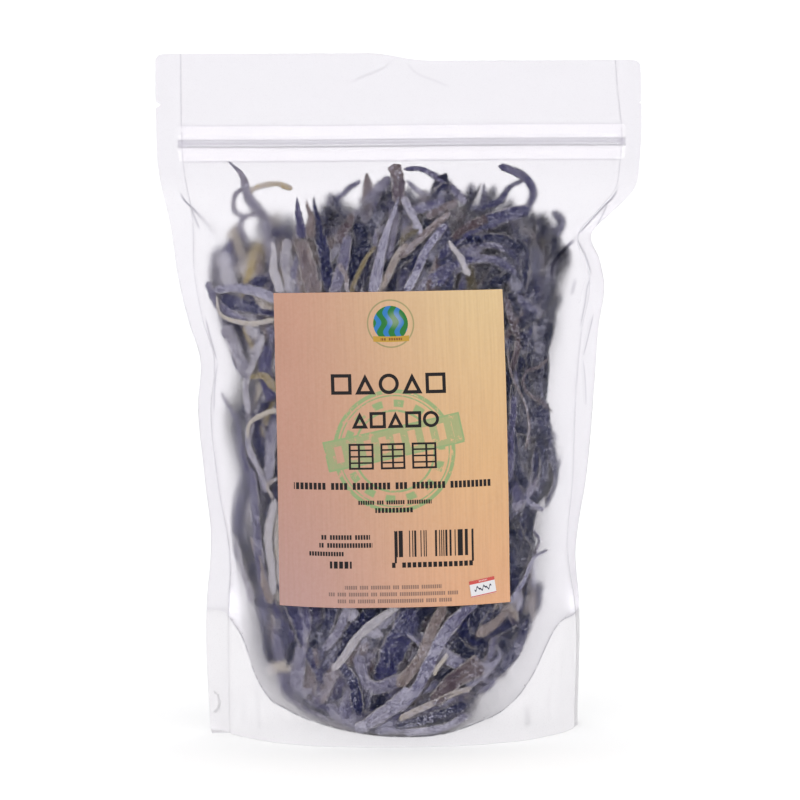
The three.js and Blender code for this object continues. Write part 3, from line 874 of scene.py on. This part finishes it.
def looksOf(kinds, x, draw):
    # how light, warm and powdery each strip is: lighter towards the left of the heap, darker at its right
    looks = np.array([kelpLook["kinds"][kind] for kind in kinds])
    looks = looks + draw.normal(0, kelpLook["uneven"], (len(kinds), 3))
    middle = x.mean(axis=1)
    looks[:, 0] += kelpLook["lighterLeft"] * smooth(-middle, 15, 50)
    looks[:, 0] -= kelpLook["darkerRight"] * smooth(middle, 28, 48)
    return looks


def laidByHand(material):
    # the strips laid one by one: each end's width and depth eased into the other's, a little waver and roll
    draw = np.random.default_rng(7)
    steps = kelpLook["steps"]
    routes = np.stack([routeThrough(points, steps) for _, _, _, points in laidStrips])
    t = np.linspace(0, 1, steps)[None, :]
    ends = np.array([(*width, *depth) for _, width, depth, _ in laidStrips])
    width = ends[:, :1] * (1 - t) ** 1.5 + ends[:, 1:2] * (1 - (1 - t) ** 1.5)
    sunk = ends[:, 2:3] + (ends[:, 3:4] - ends[:, 2:3]) * t
    count = len(laidStrips)
    waver = 0.35 * np.sin(t * draw.uniform(5, 11, (count, 1)) + draw.uniform(0, 6, (count, 1)))
    roll = draw.normal(0, 0.12, (count, 1)) + draw.normal(0, 0.2, (count, 1)) * (t - 0.5)
    looks = looksOf([kind for kind, _, _, _ in laidStrips], routes[..., 0], draw)
    return ribbons("laidStrips", routes[..., 0] + waver, routes[..., 1], sunk, frayed(width, draw), roll,
                   draw.normal(0.0, 0.05, count), looks, -1, material)


def keepInside(x, z, most):
    # eases a path back from the sides of the heap and the base's seam
    middle, half = (heapLeft(z) + heapRight(z)) / 2, most * (heapRight(z) - heapLeft(z)) / 2
    share = (x - middle) / half
    eased = np.sign(share) * (0.8 + 0.2 * np.tanh((np.abs(share) - 0.8) / 0.2))
    x = middle + half * np.where(np.abs(share) > 0.8, eased, share)
    floor = seamHeight(x) + 2.5
    return x, np.where(z < floor + 6, floor + 6 * np.exp(np.minimum(0, (z - floor - 6) / 6)), z)


def laidByChance(layer, side, material, draw):
    # strips that follow the film: they hang in the upper part and lean to the right lower down
    count, steps = layer["count"], kelpLook["steps"]
    s = np.linspace(-0.5, 0.5, steps)[None, :]
    size = draw.uniform(*layer["length"], (count, 1))
    z0 = draw.uniform(*layer["height"], (count, 1))
    share = draw.uniform(*layer["spread"], (count, 1))
    most = layer["spread"][1] + draw.uniform(-0.22, 0.05, (count, 1))
    x0 = (heapLeft(z0) + heapRight(z0)) / 2 + share * (heapRight(z0) - heapLeft(z0)) / 2
    lowLean = 0.15 + 0.75 * smooth(x0, -35, 15)
    highLean = 0.1 + 0.45 * smooth(x0, -10, 35) * smooth(z0, 120, 165)
    heading = draw.normal(0, 0.38, (count, 1)) + np.where(z0 < 60, lowLean, highLean)
    lean = np.cos(heading)
    z0 = np.minimum(z0, heapTop(x0) - 0.5 * size * np.abs(lean) - draw.exponential(4, (count, 1)))
    bend = draw.normal(0, 0.8, (count, 1))
    wave = draw.normal(0, 0.25, (count, 1)) * np.sin(s * 9 + draw.uniform(0, 6, (count, 1)))
    angle = heading + bend * s + wave
    stepLength = size / (steps - 1)
    x = x0 + np.cumsum(np.sin(angle), axis=1) * stepLength - 0.5 * size * np.sin(heading)
    z = z0 + np.cumsum(np.cos(angle), axis=1) * stepLength - 0.5 * size * lean
    x, z = keepInside(x, z, most)
    offMiddle = np.abs(2 * x - heapLeft(z) - heapRight(z)) / (heapRight(z) - heapLeft(z))
    lowRight = smooth(x, 20, 40) * (1 - smooth(z, 140, 170))
    sunk = draw.uniform(*layer["depth"], (count, 1)) + 5 * smooth(z - heapTop(x), -16, 2)
    sunk = sunk + 4 * smooth(offMiddle, 0.7, 1) * (1 - lowRight)
    sunk = sunk + draw.uniform(0, 8, (count, 1)) * (s - draw.uniform(-0.3, 0.3, (count, 1))) ** 2
    twist = layer["twist"]
    roll = draw.normal(0, twist, (count, 1)) * s * 2 + draw.normal(0, twist * 0.5, (count, 1))
    width = draw.uniform(*layer["width"], (count, 1)) * (1 + 0.35 * (1 - smooth(z0, 30, 90))) + 0 * s
    kinds = draw.choice(list(kelpLook["share"]), count, p=list(kelpLook["share"].values()))
    name = layer["name"] + ("Front" if side < 0 else "Back")
    looks = looksOf(kinds, x, draw) - np.array([layer["darker"], 0, 0])
    return ribbons(name, x, z, sunk, frayed(width, draw), roll, draw.normal(0, 0.07, count), looks, side,
                   material)


def heapCore(material):
    # the dark middle of the heap: the pouch's form drawn in, with a lumpy skin, closed at top and bottom;
    # it carries no strip numbers, so it takes the kelp's darkest colour, painted shade for the deep gaps
    # between strips
    core = kelpLook["core"]
    rows, around = 60, 72
    angle = np.linspace(0, 2 * np.pi, around, endpoint=False)[None, :]
    t = np.linspace(0, 1, rows)[:, None]
    z = core["low"] + (core["high"] - core["low"]) * t
    close = np.sqrt(np.maximum(0.0001, 1 - (2 * t - 1) ** 10))
    middle, half = (heapLeft(z) + heapRight(z)) / 2, core["across"] * (heapRight(z) - heapLeft(z)) / 2
    x = middle + half * np.sin(angle) * close
    u = acrossAt(x, z)
    z = np.maximum(z, seamHeight(x) + 8)
    lumps = 1 + 0.12 * np.sin(x / 6) * np.sin(z / 7 + 1) + 0.08 * np.sin(x / 2.7 + z / 4.1)
    deep = np.maximum(1.0, halfDepth(z) * lens(u) - core["deep"]) * lumps
    y = -np.sign(np.cos(angle)) * deep * np.abs(np.cos(angle)) ** 0.4 * close
    points = np.stack(np.broadcast_arrays(x, y, z), axis=-1).reshape(-1, 3)
    return makePiece("heapCore", points, gridFaces(rows, around, ringClosed=True), material)


driedKelp = kelpMaterial()
kelpPieces = [laidByHand(driedKelp)]
for side, firstSeed in ((-1, 100), (1, 110)):
    for number, layer in enumerate(kelpLook["layers"]):
        kelpPieces.append(laidByChance(layer, side, driedKelp, np.random.default_rng(firstSeed + number)))
kelpPieces.append(heapCore(driedKelp))
print("kelp made")


label = {"width": 84.2, "height": 114.2, "x": -5.8, "z": 108.5, "turn": 0.5, "thick": 0.14, "gap": 0.12}
badge = {                 # its place is from the label's middle
    "width": 9.7, "height": 6.0, "x": 31.6, "z": -50.8, "turn": 8, "thick": 0.12, "gap": 0.05,
    "white": (0.66, 0.655, 0.67),
    "shade": (0.6, 0.58, 0.6),
    "red": (0.5, 0.055, 0.045),
    "marks": (0.62, 0.4, 0.38),
    "written": (0.02, 0.02, 0.05),
}
ink = {
    "leftTop": (0.444, 0.232, 0.165),
    "leftMiddle": (0.428, 0.221, 0.168),
    "leftLow": (0.406, 0.237, 0.221),
    "rightTop": (0.605, 0.435, 0.225),
    "rightMiddle": (0.61, 0.366, 0.176),
    "rightLow": (0.632, 0.33, 0.18),
    "vein": (0.3, 0.16, 0.09),
    "pale": (0.75, 0.68, 0.6),
    "stamp": (0.2, 0.33, 0.15),
    "black": (0.012, 0.01, 0.011),
    "grey": (0.13, 0.09, 0.08),
    "leaf": (0.02, 0.15, 0.035),
    "water": (0.03, 0.16, 0.4),
    "ribbon": (0.42, 0.25, 0.04),
    "onRibbon": (0.2, 0.08, 0.02),
}
layout = {                # the label's print, in millimetres from its middle
    "stamp": {"z": -0.3, "rings": [(20.9, 22.3), (19.8, 20.3), (14.2, 15.0)], "dots": (16.0, 18.6),
              "tilt": 11.5, "bandUp": 2.8},
    # outlined shapes: x and height of the first, how far apart, size, stroke, and which
    "shapes": [(-18.7, 24, 8.6, 7.4, 1.25, ("square", "triangle", "ring", "triangle", "square")),
               (-12.4, 11, 6.5, 5.9, 1.1, ("triangle", "square", "triangle", "square", "ring"))],
    "blocks": {"x": -12.2, "z": -2.1, "apart": 11.5, "width": 9, "height": 9.4, "stroke": 0.75},
    # rows of small marks: x, height, width, how tall, pitch, seed
    "blackRows": [(-0.5, -12.8, 71.8, 2.5, 1.55, 3.0), (-0.3, -18.8, 26.8, 1.5, 0.85, 11.0),
                  (-0.5, -21.7, 14, 1.8, 1.3, 23.0), (-18.4, -31.4, 17.6, 1.7, 1.0, 31.0),
                  (-18.3, -34.3, 19, 1.7, 1.0, 41.0), (-25, -37.4, 12.8, 1.6, 0.95, 57.0),
                  (-20.3, -41.4, 7.8, 2.6, 1.9, 64.0), (13.2, -41.7, 30, 1.9, 1.9, 77.0)],
    "greyRows": [(-1.4, -49.7, 35.2, 1.4, 0.8, 5.0), (-0.9, -52.2, 47.6, 1.4, 0.8, 15.0),
                 (-0.9, -54.7, 41.8, 1.4, 0.8, 25.0)],
    "bars": {"x": 13.8, "z": -34, "width": 29.2, "height": 9.6, "pitch": 0.38, "seed": 90.0},
    "emblem": {"z": 45.6, "size": 6.4, "halo": (8.2, 8.7), "ribbon": 40.0},
}


def turned(settings, right, up):
    # a place on a sheet, turned with the sheet and moved to where it lies
    turn = np.radians(settings["turn"])
    return (settings["x"] + right * np.cos(turn) - up * np.sin(turn),
            settings["z"] + right * np.sin(turn) + up * np.cos(turn))


def sheetOn(name, settings, columns, rows, place, lift, plane, material):
    # a thin sheet that lies on the film: place turns its own right and up into x and height
    right, up = np.meshgrid(np.linspace(-0.5, 0.5, columns) * settings["width"],
                            np.linspace(-0.5, 0.5, rows) * settings["height"])
    x, z = place(right, up)
    points = np.stack([x, filmPoint(x, z, -1) - lift, z], axis=-1).reshape(-1, 3)
    piece = makePiece(name, points, gridFaces(rows, columns), material)
    addPlane(piece, plane, right, up)
    sharpRim(piece)
    wall = piece.modifiers.new("paper", "SOLIDIFY")
    wall.thickness = settings["thick"] * mm
    wall.offset = 1
    return piece


class Print:
    # masks for printing on a sheet: every measure is in millimetres from the sheet's middle
    def __init__(self, shader, plane):
        self.shader = shader
        spot = shader.add("ShaderNodeUVMap", {"uv_map": plane})
        self.right = shader.add("ShaderNodeSeparateXYZ", {}, {0: spot}, 0)
        self.up = shader.add("ShaderNodeSeparateXYZ", {}, {0: spot}, 1)
        self.shapes = {"square": self.square, "ring": self.ring, "triangle": self.triangle}

    def far(self, x, y):
        # the distance from x, y
        return ((self.right - x) ** 2 + (self.up - y) ** 2) ** 0.5

    def box(self, x, y, width, height):
        step = self.shader.step
        return step(abs(self.right - x), width / 2) * step(abs(self.up - y), height / 2)

    def outline(self, x, y, width, height, stroke):
        inner = self.box(x, y, width - 2 * stroke, height - 2 * stroke)
        return self.box(x, y, width, height) * (1 - inner)

    def square(self, x, y, size, stroke):
        return self.outline(x, y, size, size, stroke)

    def ring(self, x, y, size, stroke):
        return self.shader.step(abs(self.far(x, y) - (size - stroke) / 2), stroke / 2)

    def triangle(self, x, y, size, stroke):
        # an outline that stands on its base: its sides rise two for each one across
        step = self.shader.step
        aside, above = abs(self.right - x), self.up - (y - size / 2)
        half = (size - above) / 2
        outer = step(aside, half) * step(0, above)
        return outer * (1 - step(aside, half - 1.12 * stroke) * step(stroke, above))

    def chance(self, pitch, seed):
        # a number by chance, the same all over each upright band one pitch wide
        band = self.shader.math("FLOOR", self.right / pitch)
        return self.shader.add("ShaderNodeTexWhiteNoise", {"noise_dimensions": "1D"}, {"W": band + seed})

    def row(self, x, y, width, height, pitch, seed):
        # a row of small marks, broken up as words are
        part = self.shader.math("FRACT", self.right / pitch)
        marks = self.shader.step(part, 0.72) * self.shader.step(self.chance(pitch, seed), 0.86)
        return self.box(x, y, width, height) * marks


def woodPaper(paper, art):
    # a wash of colour from corner to corner with faint upright veins
    grow = paper.add("ShaderNodeMapRange", {"interpolation_type": "SMOOTHSTEP"},
                     {0: art.right, 1: -44.0, 2: 40.0})
    rise = paper.add("ShaderNodeMapRange", {}, {0: art.up, 1: -57.0, 2: 57.0})
    left = paper.ramp(rise, [(0, ink["leftLow"]), (0.5, ink["leftMiddle"]), (1, ink["leftTop"])])
    right = paper.ramp(rise, [(0, ink["rightLow"]), (0.45, ink["rightMiddle"]), (1, ink["rightTop"])])
    upright = paper.add("ShaderNodeCombineXYZ", {}, {0: art.right * 1.1, 1: art.up * 0.035})
    veins = paper.above(paper.noise(upright, 1.0, 4, 0.6), 0.52, 0.16)
    return paper.mix(veins * 0.16, paper.mix(grow, left, right), ink["vein"])


def stampMask(paper, art):
    # a round stamp: rings with dots between them and a slanted band of bars, worn through in places
    stamp = layout["stamp"]
    wearAndRimHighlight = paper.above(paper.noise(paper.objectPlace(), 380, 4, 0.7), 0.4, 0.05)
    tilt = np.radians(stamp["tilt"])
    cosine, sine = float(np.cos(tilt)), float(np.sin(tilt))
    lift = art.up - stamp["bandUp"]
    along, across = art.right * cosine + lift * sine, lift * cosine - art.right * sine
    band = paper.step(abs(across), 5.6) * paper.step(abs(along), 25.5)
    bandEdge = band * (1 - paper.step(abs(across), 4.9) * paper.step(abs(along), 24.8))
    bars = (paper.step(abs(across), 3.0) * paper.step(abs(along), 22.0)
            * paper.above(paper.math("SINE", along * 1.15), 0.0, 0.15))
    away = art.far(0, stamp["z"])
    rings = paper.most(*(paper.between(away, inner, outer, 0.1) for inner, outer in stamp["rings"]))
    angle = paper.math("ARCTAN2", art.up - stamp["z"], art.right)
    spaced = paper.above(paper.math("SINE", angle * 14.0), 0.1, 0.2)
    dots = paper.between(away, *stamp["dots"], 0.2) * spaced
    return paper.most(paper.most(rings, dots) * (1 - band), bandEdge, band * (1 - bars) * 0.8) * wearAndRimHighlight


def blackPrint(paper, art):
    # plain marks for print: outlined shapes in two rows, barred blocks in a third, rows of small marks, and
    # upright bars by chance between two longer ones
    marks = [art.row(*row) for row in layout["blackRows"]]
    for x, z, apart, size, stroke, names in layout["shapes"]:
        marks += [art.shapes[name](x + apart * k, z, size, stroke) for k, name in enumerate(names)]
    block = layout["blocks"]
    width, height, stroke = block["width"], block["height"], block["stroke"]
    for k in range(3):
        x, z = block["x"] + block["apart"] * k, block["z"]
        marks.append(art.outline(x, z, width, height, stroke))
        marks += [art.box(x, z + lift, width - 0.6, 0.6) for lift in (-2.3, 0, 2.3)]
        marks.append(art.box(x + 0.8 * (k - 1), z, stroke, height - 0.4))
    bars = layout["bars"]
    x, z, width, height = bars["x"], bars["z"], bars["width"], bars["height"]
    marks.append(art.box(x, z, width, height) * paper.step(0.48, art.chance(bars["pitch"], bars["seed"])))
    marks.append(art.box(x, z - 1.2, width, height + 2) * (1 - art.box(x, z - 1.2, width - 1.6, 12)))
    return paper.most(*marks)


def emblemOver(paper, art, under):
    # a plain round emblem of waving fronds on water, in a thin ring, with a ribbon of marks under it
    emblem, right, up = layout["emblem"], art.right, art.up
    away = art.far(0, emblem["z"])
    sway = paper.math("SINE", up * 0.9 + 1.0)
    fronds = paper.above(paper.math("SINE", right * 1.5 + sway * 1.3), -0.15, 0.2)
    shine = paper.below(art.far(1.6, 47.0), 2.4, 1.6)
    disc = paper.mix(shine * 0.2, paper.mix(fronds, ink["water"], ink["leaf"]), ink["pale"])
    halo = paper.mix(paper.between(away, *emblem["halo"], 0.15) * 0.5, under, ink["leaf"])
    crest = paper.mix(paper.step(away, emblem["size"]), halo, disc)
    bent = up - emblem["ribbon"] - 0.006 * right * right
    ribbon = paper.step(abs(bent), 1.0) * paper.step(abs(right), 6.6)
    marks = art.row(0, emblem["ribbon"], 8, 0.9, 0.9, 8.0) * ribbon
    return paper.mix(marks, paper.mix(ribbon, crest, ink["ribbon"]), ink["onRibbon"])


def labelPaper():
    # the label's layers of colour, each mixed over the one before
    paper = Shader("labelPaper")
    art = Print(paper, "print")
    speckle = paper.noise(paper.objectPlace(), 900, 2, 0.5)
    wood = paper.mix(speckle * 0.1, woodPaper(paper, art), ink["pale"])
    stamped = paper.mix(stampMask(paper, art) * 0.85, wood, ink["stamp"])
    printed = paper.mix(blackPrint(paper, art), stamped, ink["black"])
    small = paper.most(*(art.row(*row) for row in layout["greyRows"]))
    printed = paper.mix(small * 0.75, printed, ink["grey"])
    paper.set(Base_Color=emblemOver(paper, art, printed), Roughness=0.5, Specular_IOR_Level=0.15,
              Normal=paper.bumpFrom(speckle, 0.0001, 0.5))
    return paper.material


def badgePaper():
    # a white sticker with a red head and foot and a waved line
    paper = Shader("badgePaper")
    art = Print(paper, "badge")
    tone = paper.noise(paper.objectPlace(), 500, 2, 0.5)
    red = paper.most(art.box(0, 2.35, 12, 1.3), art.box(0, -2.75, 12, 0.35))
    marked = paper.mix(red, paper.mix(tone * 0.3, badge["white"], badge["shade"]), badge["red"])
    marked = paper.mix(art.row(0, 2.4, 4, 0.5, 0.6, 9.0), marked, badge["marks"])
    wave = 0.55 * paper.math("SINE", art.right * 2.4) + 0.3 * paper.math("SINE", art.right * 5.1)
    written = paper.step(abs(art.up + 0.3 - wave), 0.34) * paper.step(abs(art.right), 3.3)
    paper.set(Base_Color=paper.mix(written, marked, badge["written"]), Roughness=0.45)
    return paper.material


def onLabel(right, up):
    return turned(label, right, up)


def onBadge(right, up):
    # the badge lies askew on the label and turns with it
    x, z = turned(badge, right, up)
    return turned(label, x, z)


labelPiece = sheetOn("labelSheet", label, 61, 81, onLabel, label["gap"], "print", labelPaper())
badgeLift = label["gap"] + label["thick"] + badge["gap"]
badgePiece = sheetOn("badgeSheet", badge, 12, 9, onBadge, badgeLift, "badge", badgePaper())
print("label and badge made")


# what each piece rides on, and the frame's solids that the pieces stand in for, which are hidden
for piece in [frontFilm, backFilm, gusset, zipStrip, labelPiece, badgePiece, *kelpPieces]:
    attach(piece, "root")
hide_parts("pouch")
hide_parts("zip")
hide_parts("label")
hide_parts("badge")


view = {
    "azimuth": -5.0,
    "distance": 1500.0,
    "cameraHeight": 235.0,
    "aimHeight": 124.0,
    "aimX": -0.4,
    "picture": 298.6,         # the width it takes in at its aim
    "roll": 0.3,
}
studio = {
    "floorRadius": 1.6,
    "floorColour": (0.89, 0.89, 0.89),
    "ambient": 1.16,         # the white room all round
    "lamps": [               # place, what it points at, size in metres, power in watts
        {"name": "overheadLamp", "place": (0, 0.1, 1.9), "aim": (0, 0, 0),
         "size": (2.4, 2.4), "power": 3},
        {"name": "keyLamp", "place": (-1.1, -1.5, 0.9), "aim": (0, 0, 0.12),
         "size": (1.0, 1.2), "power": 3.5},
        {"name": "fillLamp", "place": (1.3, -1.3, 0.7), "aim": (0, 0, 0.12),
         "size": (1.0, 1.2), "power": 1.5},
    ],
}


def floorPiece():
    # a flat disc: a ring of points at the rim and one at the middle
    around = 64
    turns = np.linspace(0, 2 * np.pi, around, endpoint=False)
    radius = np.array([0.0001, studio["floorRadius"]])[:, None] / mm
    points = np.stack(np.broadcast_arrays(radius * np.cos(turns), radius * np.sin(turns), -0.1), axis=-1)
    pale = Shader("paleFloor")
    pale.set(Base_Color=studio["floorColour"], Roughness=0.9)
    piece = makePiece("floor", points.reshape(-1, 3), gridFaces(2, around, ringClosed=True), pale.material)


def lamp(settings):
    # a rectangle of light that faces its aim
    data = bpy.data.lights.new(settings["name"], "AREA")
    data.shape = "RECTANGLE"
    data.size, data.size_y = settings["size"]
    data.energy = settings["power"]
    item = bpy.data.objects.new(settings["name"], data)
    bpy.context.scene.collection.objects.link(item)
    item.visible_transmission = False        # the film passes the room's light on, not the lamps'
    item.location = Vector(settings["place"])
    item.rotation_euler = (Vector(settings["aim"]) - item.location).to_track_quat("-Z", "Y").to_euler()


def room():
    # even white light from all round
    world = bpy.data.worlds.new("studio")
    bpy.context.scene.world = world
    world.use_nodes = True
    background = world.node_tree.nodes["Background"]
    background.inputs["Color"].default_value = (1, 1, 1, 1)
    background.inputs["Strength"].default_value = studio["ambient"]


def placeCamera():
    # a long lens at its distance from its aim, swung round the pouch and leaned a little
    data = bpy.data.cameras.new("camera")
    camera = bpy.data.objects.new("camera", data)
    bpy.context.scene.collection.objects.link(camera)
    bpy.context.scene.camera = camera
    azimuth = np.radians(view["azimuth"])
    flat = np.sqrt(view["distance"] ** 2 - (view["cameraHeight"] - view["aimHeight"]) ** 2)
    camera.location = Vector((view["aimX"] + np.sin(azimuth) * flat, -np.cos(azimuth) * flat,
                              view["cameraHeight"])) * mm
    aim = Vector((view["aimX"], 0, view["aimHeight"])) * mm
    camera.rotation_mode = "QUATERNION"
    facing = (aim - camera.location).to_track_quat("-Z", "Y")
    camera.rotation_quaternion = facing @ Quaternion((0, 0, 1), -np.radians(view["roll"]))
    data.lens = data.sensor_width * view["distance"] / view["picture"]
    data.clip_start, data.clip_end = 0.01, 20


floorPiece()
for settings in studio["lamps"]:
    lamp(settings)
room()
placeCamera()
bpy.context.scene.view_settings.view_transform = "Standard"
print("floor, lamps and camera placed")
